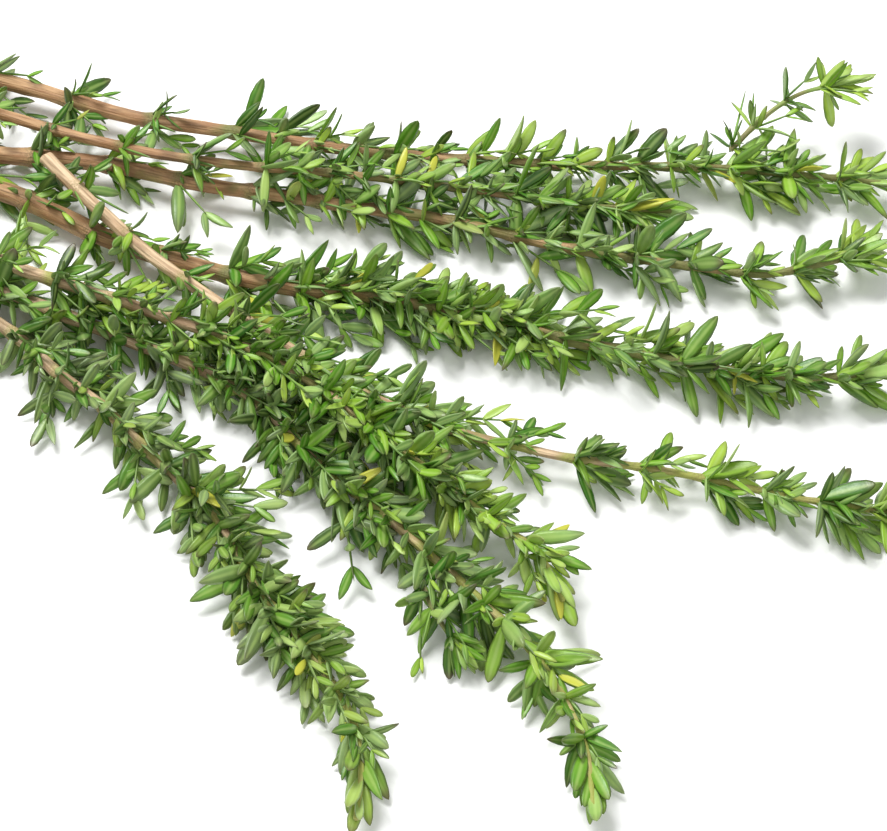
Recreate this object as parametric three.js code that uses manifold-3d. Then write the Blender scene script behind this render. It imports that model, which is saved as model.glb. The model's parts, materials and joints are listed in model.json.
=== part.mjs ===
// A loose bundle of eight cut thyme sprigs, lying on a flat surface.
//
// Every sprig is one woody stem and its leaves. Leaves grow in whorls: an opposite pair of long leaves,
// and a shorter leaf between them on either side, with every pair a quarter turn from the last one. The
// whorls of one stretch of stem are one solid, tied together by the slender ridge that runs down the
// stem from leaf base to leaf base. Two of the sprigs also carry a short side shoot.
//
// Millimetres, +Z up. +X runs from the cut ends to the tips, and the origin is the middle of the
// bundle's footprint, on the surface that it lies on.

import * as THREE from "three";
import { mergeVertices } from "three/addons/utils/BufferGeometryUtils.js";
import Module from "manifold-3d";

// ---- Driving dimensions ----

const STEM_SIDES = 6;
const STEM_STEP = 10; // length of stem between two rings
const GAP = 0.3; // left between solids that touch on the real plant

const LEAF_SLENDERNESS = 0.29; // width of a leaf over its length
const LEAF_THICKNESS = 0.75;
const LEAF_CAMBER = 0.12; // how far the tip drops below the leaf's plane, over its length
const LONG_OUTLINE = [0.22, 1, 0.85, 0]; // width at even steps from base to tip, over the full width
const SHORT_OUTLINE = [0.3, 1, 0];
const LENGTH_VARIES = 0.16;
const SHORT_LEAF = 0.66; // length of the leaf between a pair, over that of the pair

const COLLAR_WALL = 0.6; // leaf bases, where they clasp the stem
const COLLAR_HEIGHT = 1.8;
const RIDGE_RADIUS = 0.34;
const RIDGE_OFFSET = THREE.MathUtils.degToRad(20); // from the leaf base beside it
const FLOOR_CLEARANCE = 0.45; // height of a leaf's middle where it is pressed on the surface
const SHORT_LEAF_LOWEST = -0.3; // slope below which a short leaf under the stem is left out
const SHORTENED = [1, 0.8, 0.62]; // tried in turn on a leaf that runs into another sprig

// Angle between a leaf of a pair and the stem, at the cut end and at the tip.
const SPREAD_AT_BASE = THREE.MathUtils.degToRad(62);
const SPREAD_AT_TIP = THREE.MathUtils.degToRad(34);
const SPREAD_VARIES = 0.3;
const SHORT_SPREAD = 0.85; // a short leaf stands closer to the stem
const DRIFT = THREE.MathUtils.degToRad(7); // slow turn of the whorls around the stem
const TURN_VARIES = THREE.MathUtils.degToRad(14);

// Each sprig, from the back of the bundle to the front.
//   route      points that the middle of the stem passes through, from the cut end to the tip
//   radius     of the stem, at the cut end and at the tip
//   internode  distance between whorls, at the first whorl and at the tip
//   leaf       length of a main leaf, at the first whorl and at the tip
//   bare       length of stem below the first whorl
//   stretches  solids that the leaves are grouped into
const SPRIGS = [
  {
    name: "sprig_1",
    radius: [1.8, 0.55],
    internode: [17.5, 8],
    leaf: [9.5, 9],
    bare: 22.5,
    stretches: 6,
    route: [
      [-127, 79, 5], [-105, 82, 5], [-85.5, 78, 5], [-60, 68.5, 5], [-43, 65, 5], [-27, 61.5, 5],
      [-8, 58, 5.5], [22, 55, 6], [46, 54.5, 6], [67, 52.5, 6], [88, 49, 6.5],
    ],
  },
  {
    name: "sprig_2",
    radius: [1.3, 0.5],
    internode: [15, 8],
    leaf: [9, 9],
    bare: 20,
    stretches: 6,
    route: [
      [-122, 71, 9.5], [-102, 70, 9], [-84, 65.5, 8.8], [-72, 60.5, 9.2], [-55, 54.5, 10],
      [-36, 51, 10], [-19, 49.5, 9.6], [-1, 47.5, 8.5], [14, 46, 7], [29, 44, 6.5], [42, 42.5, 7],
    ],
  },
  {
    name: "sprig_3",
    radius: [2.0, 0.55],
    internode: [15, 8],
    leaf: [9.5, 9.5],
    bare: 24,
    stretches: 6,
    route: [
      [-131, 64, 5], [-105, 61, 5], [-84, 58.5, 5], [-63, 56, 5], [-45.5, 51, 5], [-29, 48, 5],
      [-17, 45.5, 5], [-1, 42.5, 5], [21.5, 35.5, 5], [36, 32.5, 5], [47, 30.5, 5], [60, 28.5, 5.5],
      [78, 33, 7],
    ],
  },
  {
    name: "sprig_4",
    radius: [2.3, 0.55],
    internode: [15, 8],
    leaf: [9.5, 9.5],
    bare: 22,
    stretches: 6,
    route: [
      [-128, 57.5, 4.5], [-104, 55.5, 4.5], [-83, 50, 4.5], [-62, 38, 4.5], [-42, 30, 4.5],
      [-28, 26, 4.5], [-12.5, 24, 5], [0.5, 20, 5], [14, 17, 5], [21.5, 13.5, 5], [32, 11, 5],
      [45, 7.5, 5], [56.5, 5, 5.5], [69, 4, 6], [80, 4.5, 7],
    ],
  },
  {
    name: "sprig_5",
    radius: [1.35, 0.45],
    internode: [15, 8.5],
    leaf: [8.5, 9],
    bare: 10,
    stretches: 5,
    route: [
      [-74, 52.5, 10.8], [-63, 39.5, 10.5], [-54.5, 30, 10.5], [-42.5, 19.5, 10], [-28, 8.5, 9.5],
      [-18.5, 1, 9], [-8.5, -4.5, 8], [-0.5, -8, 7], [9.5, -10.5, 6], [21, -13.5, 5.5],
      [36, -16, 5.5], [48, -18.5, 5], [56.5, -21, 5], [64, -23, 5.5], [72, -24.5, 5.5], [80, -27, 6],
    ],
  },
  {
    name: "sprig_6",
    radius: [1.45, 0.5],
    internode: [12.5, 7.5],
    leaf: [9, 9],
    bare: 20,
    stretches: 6,
    route: [
      [-121, 51, 9.5], [-100, 40, 8.5], [-81, 29, 8.5], [-67.5, 23, 9], [-58, 19, 9], [-49, 15, 9],
      [-37, 9, 9.5], [-27, 2.5, 10], [-18, -5, 10], [-10.5, -12, 9.5], [-0.5, -21, 9],
      [9.5, -30, 8], [16, -35.5, 7.5], [20, -45, 7],
    ],
  },
  {
    name: "sprig_7",
    radius: [1.6, 0.5],
    internode: [12.5, 7.5],
    leaf: [9, 9.5],
    bare: 24,
    stretches: 6,
    route: [
      [-126, 47, 4.5], [-101, 35, 4.5], [-81, 25, 4.5], [-69.5, 20, 4.5], [-56.5, 13.5, 4.5],
      [-45, 7.5, 5], [-35.5, 1.5, 5], [-29.5, -5, 5.5], [-21.5, -15.5, 6], [-8, -29, 6.5],
      [0.5, -38, 6.5], [15, -55, 6], [20.5, -65, 5.5], [23.5, -75, 5.5], [24, -84, 5.5],
    ],
  },
  {
    name: "sprig_8",
    radius: [1.4, 0.5],
    internode: [12.5, 7.5],
    leaf: [9, 9],
    bare: 22,
    stretches: 6,
    route: [
      [-120, 34, 5], [-99, 26.5, 4.5], [-80, 17.5, 4.5], [-71, 8, 4.5], [-61, -1, 4.5],
      [-51, -12.5, 4.5], [-39, -26, 5], [-32, -40, 5], [-22, -54.5, 5], [-16, -64.5, 5],
      [-13.5, -74, 5], [-14, -86, 5],
    ],
  },
  {
    name: "shoot_1",
    radius: [0.55, 0.35],
    internode: [8, 6],
    leaf: [7, 8.5],
    bare: 6,
    stretches: 1,
    route: [[54, 57.5, 7.5], [59, 62, 10], [66, 67, 12], [76, 69.5, 13]],
  },
  {
    name: "shoot_2",
    radius: [0.55, 0.35],
    internode: [6, 4.5],
    leaf: [8, 8],
    bare: 5,
    stretches: 1,
    route: [[-3.5, -40.5, 5.5], [-1, -47, 5], [3, -53, 4.5]],
  },
];

const UP = new THREE.Vector3(0, 0, 1);

const WOOD = new THREE.MeshStandardMaterial({ color: 0x8a6547, roughness: 0.8, metalness: 0 });
const LEAF = new THREE.MeshStandardMaterial({ color: 0x4c7a2c, roughness: 0.55, metalness: 0 });

// ---- Solids: three.js geometries joined with manifold-3d ----

const wasm = await Module();
wasm.setup();

/** The closed solid of a three.js geometry. */
function solid(geometry) {
  const shape = geometry.clone();
  shape.deleteAttribute("normal");
  shape.deleteAttribute("uv");
  const merged = mergeVertices(shape, 1e-4);
  return new wasm.Manifold(
    new wasm.Mesh({
      numProp: 3,
      vertProperties: new Float32Array(merged.attributes.position.array),
      triVerts: new Uint32Array(merged.index.array),
    }),
  );
}

/** The three.js geometry of a solid. */
function geometryOf(body) {
  const mesh = body.getMesh();
  const positions = new Float32Array(mesh.numVert * 3);
  for (let i = 0; i < mesh.numVert; i++) {
    positions.set(mesh.vertProperties.subarray(i * mesh.numProp, i * mesh.numProp + 3), i * 3);
  }
  const geometry = new THREE.BufferGeometry();
  geometry.setAttribute("position", new THREE.BufferAttribute(positions, 3));
  geometry.setIndex(new THREE.BufferAttribute(new Uint32Array(mesh.triVerts), 1));
  geometry.computeVertexNormals();
  return geometry;
}

/** Runs change on every vertex of a geometry, as a Vector3. */
function reshape(geometry, change) {
  const position = geometry.attributes.position;
  const point = new THREE.Vector3();
  for (let i = 0; i < position.count; i++) {
    point.fromBufferAttribute(position, i);
    change(point);
    position.setXYZ(i, point.x, point.y, point.z);
  }
  return geometry;
}

// ---- How a sprig grows ----

/** A repeatable number from 0 to 1 for each set of whole numbers. */
function chance(...keys) {
  let hash = 0x811c9dc5;
  for (const key of keys) {
    hash = Math.imul(hash ^ key, 0x01000193) >>> 0;
    hash = (hash ^ (hash >>> 15)) >>> 0;
    hash = Math.imul(hash, 0x2c1b3c6d) >>> 0;
    hash = (hash ^ (hash >>> 12)) >>> 0;
  }
  return hash / 0x100000000;
}

/** A repeatable number from -1 to 1. */
const swing = (...keys) => 2 * chance(...keys) - 1;

/** The stem's middle line, its radius and its directions, by distance from the cut end. */
class Stem {
  constructor({ route, radius }) {
    this.curve = new THREE.CatmullRomCurve3(route.map((p) => new THREE.Vector3(...p)), false, "centripetal");
    this.length = this.curve.getLength();
    this.ends = radius;
  }

  share(distance) {
    return THREE.MathUtils.clamp(distance / this.length, 0, 1);
  }

  radius(distance) {
    return THREE.MathUtils.lerp(this.ends[0], this.ends[1], this.share(distance));
  }

  /** Takes (across, along, up) at a distance up the stem into the bundle's frame. */
  frame(distance) {
    const along = this.curve.getTangentAt(this.share(distance));
    const across = along.clone().cross(UP).normalize();
    const up = across.clone().cross(along);
    const at = this.curve.getPointAt(this.share(distance));
    return new THREE.Matrix4().makeBasis(across, along, up).setPosition(at);
  }

  /** Bends a geometry that stands on its Y axis, measured in distance up the stem, onto the route. */
  bend(geometry) {
    return reshape(geometry, (point) => {
      const distance = point.y;
      point.setY(0).applyMatrix4(this.frame(distance));
    });
  }
}

/** The tapered wood of a stem, with flat cut ends. */
function woodOf(stem, extra = 0) {
  const steps = Math.max(3, Math.round(stem.length / STEM_STEP));
  const [base, tip] = stem.ends;
  const bar = new THREE.CylinderGeometry(tip + extra, base + extra, stem.length, STEM_SIDES, steps);
  return stem.bend(bar.translate(0, stem.length / 2, 0));
}

/** Distances of the whorls from the cut end: internodes shorten evenly towards the tip. */
function whorlDistances(stem, { bare, internode }) {
  const found = [];
  let distance = bare;
  while (distance < stem.length - 1) {
    found.push(distance);
    const share = (distance - bare) / (stem.length - bare);
    distance += THREE.MathUtils.lerp(internode[0], internode[1], share ** 1.5);
  }
  return found;
}

/** A leaf, 1 long, 1 wide and 1 thick, from its base at the origin along +Y, flat above and keeled below. */
function leafBlank(outline) {
  const rings = outline.length - 1;
  const blank = new THREE.ConeGeometry(0.5, 1, 3, rings).rotateY(Math.PI).translate(0, 0.5, 0);
  reshape(blank, (point) => {
    const ring = Math.round(point.y * rings);
    const widen = ring < rings ? outline[ring] / (1 - ring / rings) : 0;
    point.x *= widen;
    point.z *= widen;
  });
  return blank.scale(2 / Math.sqrt(3), 1, 4 / 3);
}

const LONG_BLANK = leafBlank(LONG_OUTLINE);
const SHORT_BLANK = leafBlank(SHORT_OUTLINE);

/** A leaf's solid: length along +Y, and its tip dropping below its plane. */
function leafGeometry(blank, length, extra = 0) {
  const long = length + extra;
  const blade = blank.clone().scale(length * LEAF_SLENDERNESS + extra, long, LEAF_THICKNESS + extra);
  return reshape(blade, (point) => {
    point.z -= LEAF_CAMBER * point.y * (point.y / long);
  });
}

/** How far a whorl's pair is turned around the stem, past the quarter turns. */
function whorlTurn(key, index) {
  return chance(key, 0) * Math.PI + index * DRIFT + TURN_VARIES * swing(key, index, 1);
}

/** The leaves of one whorl: where each starts, which way it points and how long it is. */
function whorlLeaves(stem, sprig, index, distance) {
  const { key } = sprig;
  const share = (distance - sprig.bare) / (stem.length - sprig.bare);
  const frame = stem.frame(distance);
  const mean = THREE.MathUtils.lerp(SPREAD_AT_BASE, SPREAD_AT_TIP, share);
  const length = THREE.MathUtils.lerp(sprig.leaf[0], sprig.leaf[1], share);
  return [0, 1, 2, 3].map((side) => {
    const short = (side + index) % 2 === 1;
    const blank = short ? SHORT_BLANK : LONG_BLANK;
    const turn = whorlTurn(key, index) + (side * Math.PI) / 2;
    const spread = mean * (1 + SPREAD_VARIES * swing(key, index, side, 2)) * (short ? SHORT_SPREAD : 1);
    const out = new THREE.Vector3(Math.cos(turn), 0, Math.sin(turn));
    const way = out.clone().multiplyScalar(Math.sin(spread)).add(new THREE.Vector3(0, Math.cos(spread), 0));
    return {
      blank,
      base: out.multiplyScalar(stem.radius(distance) + GAP + COLLAR_WALL / 2).applyMatrix4(frame),
      way: way.transformDirection(frame),
      along: new THREE.Vector3(0, 1, 0).transformDirection(frame),
      length: length * (short ? SHORT_LEAF : 1) * (1 + LENGTH_VARIES * swing(key, index, side, 3)),
    };
  });
}

/** Puts a leaf's geometry in its place, tilted up where it would go through the surface. */
function placeLeaf({ blank, base, way, along, length }, extra = 0) {
  const lowest = (FLOOR_CLEARANCE + LEAF_CAMBER * length - base.z) / length;
  const direction = way.clone();
  if (direction.z < lowest) {
    const level = Math.hypot(direction.x, direction.y);
    const rest = Math.sqrt(1 - lowest * lowest);
    direction.set((direction.x / level) * rest, (direction.y / level) * rest, lowest);
  }
  const across = direction.clone().cross(along).normalize();
  const top = across.clone().cross(direction);
  const turned = new THREE.Matrix4().makeBasis(across, direction, top).setPosition(base);
  return leafGeometry(blank, length, extra).applyMatrix4(turned);
}

/** The square collar of leaf bases around the stem at a whorl, flat on the sides that leaves leave. */
function collarGeometry(stem, distance, turn) {
  const inner = (stem.radius(distance - COLLAR_HEIGHT / 2) + GAP) * Math.SQRT2;
  const outer = inner + COLLAR_WALL * Math.SQRT2;
  const half = COLLAR_HEIGHT / 2;
  const section = [[inner, 0], [outer, -half], [outer, half], [inner, 0]];
  const ring = new THREE.LatheGeometry(section.map((p) => new THREE.Vector2(...p)), 4, Math.PI / 4);
  return ring.rotateY(-turn).applyMatrix4(stem.frame(distance));
}

/** The ridge along the stem from one whorl to the next. */
function ridgeGeometry(stem, from, to, turns) {
  const bar = new THREE.CylinderGeometry(RIDGE_RADIUS, RIDGE_RADIUS, to - from, 3, 1);
  const twisted = reshape(bar.translate(0, (from + to) / 2, 0), (point) => {
    const turn = THREE.MathUtils.mapLinear(point.y, from, to, ...turns) + RIDGE_OFFSET;
    point.x += stem.radius(point.y) + GAP + RIDGE_RADIUS;
    point.applyAxisAngle(new THREE.Vector3(0, 1, 0), -turn);
  });
  return stem.bend(twisted);
}

// ---- The bundle ----

/** Solids already placed, with room around them, by the node that they belong to. */
const taken = [];

function keep(node, body) {
  taken.push({ node, body, box: body.boundingBox() });
}

function boxesMeet(a, b) {
  return [0, 1, 2].every((k) => a.min[k] < b.max[k] && b.min[k] < a.max[k]);
}

/** Whether a solid runs into another node's solids. */
function blocked(node, body) {
  const box = body.boundingBox();
  return taken.some(
    (other) => other.node !== node && boxesMeet(box, other.box) && !body.intersect(other.body).isEmpty(),
  );
}

function addMesh(group, name, geometry, material) {
  const mesh = new THREE.Mesh(geometry, material);
  mesh.name = name;
  group.add(mesh);
}

const sprigs = SPRIGS.map((sprig, key) => ({ ...sprig, key, stem: new Stem(sprig) }));
const laid = new THREE.Group();

for (const { name, stem } of sprigs) {
  addMesh(laid, `${name}_stem`, woodOf(stem), WOOD);
  keep(`${name}_stem`, solid(woodOf(stem, GAP / 2)));
}

// Stretches of whorls: the collars and ridges of all of them come first, and then the leaves.
const stretches = [];
for (const sprig of sprigs) {
  const { stem, key } = sprig;
  const whorls = whorlDistances(stem, sprig).map((distance, index) => ({
    distance,
    index,
    turn: whorlTurn(key, index),
  }));
  const size = whorls.length / sprig.stretches;
  for (let n = 0; n < sprig.stretches; n++) {
    const node = sprig.stretches > 1 ? `${sprig.name}_leaves_${n + 1}` : `${sprig.name}_leaves`;
    const own = whorls.slice(Math.round(n * size), Math.round((n + 1) * size));
    const parts = own.map(({ distance, turn }) => solid(collarGeometry(stem, distance, turn)));
    for (let k = 1; k < own.length; k++) {
      const [below, above] = [own[k - 1], own[k]];
      parts.push(solid(ridgeGeometry(stem, below.distance, above.distance, [below.turn, above.turn])));
    }
    parts.forEach((part) => keep(node, part));
    stretches.push({ node, sprig, own, parts });
  }
}

for (const { node, sprig, own, parts } of stretches) {
  for (const { distance, index } of own) {
    for (const leaf of whorlLeaves(sprig.stem, sprig, index, distance)) {
      if (leaf.blank === SHORT_BLANK && leaf.way.z < SHORT_LEAF_LOWEST) continue;
      const share = SHORTENED.find(
        (s) => !blocked(node, solid(placeLeaf({ ...leaf, length: leaf.length * s }))),
      );
      if (share === undefined) continue;
      const grown = { ...leaf, length: leaf.length * share };
      parts.push(solid(placeLeaf(grown)));
      keep(node, solid(placeLeaf(grown, GAP)));
    }
  }
  addMesh(laid, node, geometryOf(wasm.Manifold.union(parts)), LEAF);
}

// The origin goes to the middle of the footprint, on the surface.
const box = new THREE.Box3().setFromObject(laid, true);
const middle = box.getCenter(new THREE.Vector3());
laid.position.set(-middle.x, -middle.y, -box.min.z);

const bundle = new THREE.Group();
bundle.add(laid);

export default bundle;
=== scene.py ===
"""A loose bundle of fresh thyme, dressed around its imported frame.

The frame gives the line and thickness of every stem. Each sprig then grows from its own stem: bark on
the stem, and whorls of leaves along it. A whorl has an opposite pair of long leaves, shorter leaves on
the sides between them, and a small shoot in the axil of each. Tufts stand between the whorls of a full
stretch, bushes where a sprig is thickest, and closing leaves point forward at every tip.

Lengths are in metres and angles in radians. Azimuths around a stem are measured from its right-hand
side, seen from the cut end, towards its top.
"""

import json
import logging
import math
from dataclasses import dataclass, field
from enum import Enum
from typing import Iterator

import bpy
import numpy as np
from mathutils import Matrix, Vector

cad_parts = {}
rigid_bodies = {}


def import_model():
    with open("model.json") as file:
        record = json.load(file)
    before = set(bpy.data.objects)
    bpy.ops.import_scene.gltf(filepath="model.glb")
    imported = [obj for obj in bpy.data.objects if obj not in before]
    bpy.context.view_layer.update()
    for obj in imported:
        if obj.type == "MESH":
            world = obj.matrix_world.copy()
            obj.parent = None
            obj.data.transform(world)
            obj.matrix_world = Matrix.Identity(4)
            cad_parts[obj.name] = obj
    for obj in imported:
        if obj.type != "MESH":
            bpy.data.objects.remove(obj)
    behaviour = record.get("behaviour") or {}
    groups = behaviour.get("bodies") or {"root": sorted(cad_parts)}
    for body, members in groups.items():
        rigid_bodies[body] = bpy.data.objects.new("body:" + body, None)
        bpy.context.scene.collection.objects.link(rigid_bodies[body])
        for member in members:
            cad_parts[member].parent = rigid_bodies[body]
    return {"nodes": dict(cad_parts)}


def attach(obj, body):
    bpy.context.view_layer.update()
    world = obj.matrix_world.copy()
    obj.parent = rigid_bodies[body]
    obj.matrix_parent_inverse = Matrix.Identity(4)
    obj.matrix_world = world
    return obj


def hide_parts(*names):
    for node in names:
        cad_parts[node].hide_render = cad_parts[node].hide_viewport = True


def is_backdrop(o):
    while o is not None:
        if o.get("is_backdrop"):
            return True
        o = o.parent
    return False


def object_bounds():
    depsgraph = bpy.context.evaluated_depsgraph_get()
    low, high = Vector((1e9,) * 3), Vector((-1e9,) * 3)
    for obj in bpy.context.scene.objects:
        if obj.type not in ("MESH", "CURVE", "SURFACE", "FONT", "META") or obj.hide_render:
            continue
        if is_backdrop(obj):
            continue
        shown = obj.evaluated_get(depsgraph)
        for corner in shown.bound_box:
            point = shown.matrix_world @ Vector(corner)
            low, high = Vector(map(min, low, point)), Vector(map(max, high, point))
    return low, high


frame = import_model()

LOG = logging.getLogger("thyme")
BODY = "root"
MM = 0.001
FIRST_SEED = 7
# The chances of tufts and bushes, and of closing leaves, are keyed from these numbers on.
EXTRA_KEYS, CLOSING_KEYS = 500, 1000

bpy.context.view_layer.update()
CAD_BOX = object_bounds()


# ---- Numbers and directions ----


def chance(*keys: int) -> float:
    """Give a repeatable number for a set of whole numbers.

    Args:
        keys: whole numbers that name what the number is for.

    Returns:
        A number from 0 to 1, always the same for the same keys.
    """
    value = 0x811C9DC5
    for key in keys:
        value = ((value ^ key) * 0x01000193) & 0xFFFFFFFF
        value ^= value >> 15
        value = (value * 0x2C1B3C6D) & 0xFFFFFFFF
        value ^= value >> 12
    return value / 2**32


def swing(*keys: int) -> float:
    """Give a repeatable number from -1 to 1 for a set of whole numbers."""
    return 2 * chance(*keys) - 1


def lerp(ends: tuple[float, float], share: float) -> float:
    """Mix the two ends by a share from 0 to 1."""
    return ends[0] + (ends[1] - ends[0]) * share


def unit(vector: np.ndarray) -> np.ndarray:
    """Scale a vector, or each row of an array of vectors, to length 1."""
    return vector / np.linalg.norm(vector, axis=-1, keepdims=True)


def quaternion(x_axis: np.ndarray, y_axis: np.ndarray, z_axis: np.ndarray) -> tuple[float, ...]:
    """Find the rotation that takes the three unit axes to the ones given.

    Args:
        x_axis: where the X axis goes.
        y_axis: where the Y axis goes.
        z_axis: where the Z axis goes.

    Returns:
        The rotation as a quaternion (w, x, y, z).
    """
    matrix = np.array([x_axis, y_axis, z_axis]).T
    w, x, y, z = np.sqrt(
        np.maximum(0, 1 + np.array([[1, 1, 1], [1, -1, -1], [-1, 1, -1], [-1, -1, 1]]) @ matrix.diagonal())
    ) / 2
    x = math.copysign(x, matrix[2, 1] - matrix[1, 2])
    y = math.copysign(y, matrix[0, 2] - matrix[2, 0])
    z = math.copysign(z, matrix[1, 0] - matrix[0, 1])
    return (w, x, y, z)


def closed_tube(rings: int, around: int) -> list[tuple[int, ...]]:
    """List the faces of a tube with closed ends, facing outwards for anticlockwise rings.

    Args:
        rings: number of rings of points.
        around: points on each.

    Returns:
        The four-sided faces, ring by ring, then the first end and the last.
    """
    starts = [(ring * around, k) for ring in range(rings - 1) for k in range(around)]
    edges = [(start + k, start + (k + 1) % around) for start, k in starts]
    sides = [(here, after, after + around, here + around) for here, after in edges]
    return [*sides, tuple(reversed(range(around))), tuple((rings - 1) * around + k for k in range(around))]


def mm(*lengths: float) -> tuple[float, ...]:
    """Turn lengths in millimetres into metres."""
    return tuple(length * MM for length in lengths)


def in_scene(name: str, data: bpy.types.ID) -> bpy.types.Object:
    """Put a new object with this data in the scene.

    Args:
        name: of the object.
        data: its mesh, light or camera.

    Returns:
        The object.
    """
    made = bpy.data.objects.new(name, data)
    bpy.context.scene.collection.objects.link(made)
    return made


VALUE_KEYS = {"FLOAT": "value", "INT": "value", "QUATERNION": "value", "FLOAT_VECTOR": "vector"}


def store(mesh: bpy.types.Mesh, name: str, kind: str, values: object) -> None:
    """Store one value of a kind on every point of a mesh, as a named attribute."""
    flat = np.asarray(values).reshape(-1).astype(np.int32 if kind == "INT" else np.float32)
    mesh.attributes.new(name, kind, "POINT").data.foreach_set(VALUE_KEYS[kind], flat)


# ---- The stems, as the frame has them ----


@dataclass
class StemLine:
    """The middle line and thickness of one stem, measured from its frame node.

    Attributes:
        points: points on the middle line, evenly spaced from the cut end to the tip.
        radii: the stem's radius at each of them.
    """

    points: np.ndarray
    radii: np.ndarray

    @classmethod
    def from_node(cls, node: str) -> "StemLine":
        """Measure a stem from the rings of vertices around its frame node.

        Args:
            node: name of the frame node.

        Returns:
            The measured line, with the thicker end first.
        """
        mesh = frame["nodes"][node].data
        places = np.array([vertex.co for vertex in mesh.vertices])
        merged, index = np.unique(np.round(places, 6), axis=0, return_inverse=True)
        touching: list[set[int]] = [set() for _ in merged]
        for polygon in mesh.polygons:
            corners = {int(index[vertex]) for vertex in polygon.vertices}
            for corner in corners:
                touching[corner] |= corners - {corner}
        layers = max((cls._layers(touching, start) for start in range(len(merged))), key=len)
        rings = [merged[layer] for layer in layers if len(layer) > 1]
        points = np.array([ring.mean(0) for ring in rings])
        radii = np.array([np.linalg.norm(ring - ring.mean(0), axis=1).mean() for ring in rings])
        if radii[0] < radii[-1]:
            points, radii = points[::-1], radii[::-1]
        return cls(points, radii)

    @staticmethod
    def _layers(touching: list[set[int]], start: int) -> list[list[int]]:
        """Sort vertices into layers by how many edges they are from a start.

        Args:
            touching: the neighbours of each vertex.
            start: the vertex to start from.

        Returns:
            The vertices of each layer, the start first.
        """
        seen = {start}
        layers = [[start]]
        while layers[-1]:
            following = {near for vertex in layers[-1] for near in touching[vertex]} - seen
            seen |= following
            layers.append(sorted(following))
        return layers[:-1]

    @property
    def length(self) -> float:
        """Length of the middle line."""
        fine = self.at(np.linspace(0, 1, 40 * len(self.points)), by_share=True)[0]
        return float(np.linalg.norm(np.diff(fine, axis=0), axis=1).sum())

    def at(self, distance: np.ndarray, by_share: bool = False) -> tuple[np.ndarray, np.ndarray, np.ndarray]:
        """Find places on the stem.

        Args:
            distance: distances from the cut end, or shares of the length.
            by_share: whether distance holds shares from 0 to 1.

        Returns:
            The points, the unit directions towards the tip, and the radii.
        """
        share = np.asarray(distance, float) if by_share else np.asarray(distance, float) / self.length
        place = np.clip(share, 0, 1) * (len(self.points) - 1)
        first = np.minimum(place.astype(int), len(self.points) - 2)
        t = (place - first)[:, None]
        before, after = 2 * self.points[0] - self.points[1], 2 * self.points[-1] - self.points[-2]
        padded = np.vstack([before, self.points, after])
        a, b, c, d = (padded[first + k] for k in range(4))
        slope_b, slope_c = (c - a) / 2, (d - b) / 2
        cubic, square = 2 * (b - c) + slope_b + slope_c, 3 * (c - b) - 2 * slope_b - slope_c
        points = ((cubic * t + square) * t + slope_b) * t + b
        along = unit((3 * cubic * t + 2 * square) * t + slope_b)
        return points, along, np.interp(place, np.arange(len(self.radii)), self.radii)

    def frames(self, distance: np.ndarray) -> tuple[np.ndarray, ...]:
        """Find the stem's own directions at distances from the cut end.

        Args:
            distance: distances from the cut end.

        Returns:
            The points, and the unit directions to the right, along the stem and up, and the radii.
        """
        points, along, radii = self.at(distance)
        across = unit(np.cross(along, [0, 0, 1]))
        return points, across, along, np.cross(across, along), radii


# ---- Leaves ----


class Shape(Enum):
    """The forms that a leaf takes, each a template of its own."""

    FLAT = 0
    RECURVED = 1
    HOODED = 2
    FOLDED = 3
    TWISTED = 4
    BROAD = 5
    TWIG = 6

    @property
    def label(self) -> str:
        """Name of the template, which sorts in the order of the values."""
        return f"leaf_shape_{self.value}"


class Outline(Enum):
    """Widths of a blade over its widest, at each of its stations from base to tip."""

    OBLONG = (0.26, 0.46, 0.8, 1.0, 0.93, 0.62, 0.3, 0.06)
    LANCE = (0.26, 0.52, 0.9, 1.0, 0.82, 0.48, 0.2, 0.04)
    SPOON = (0.24, 0.38, 0.68, 0.94, 1.0, 0.75, 0.4, 0.08)


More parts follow.
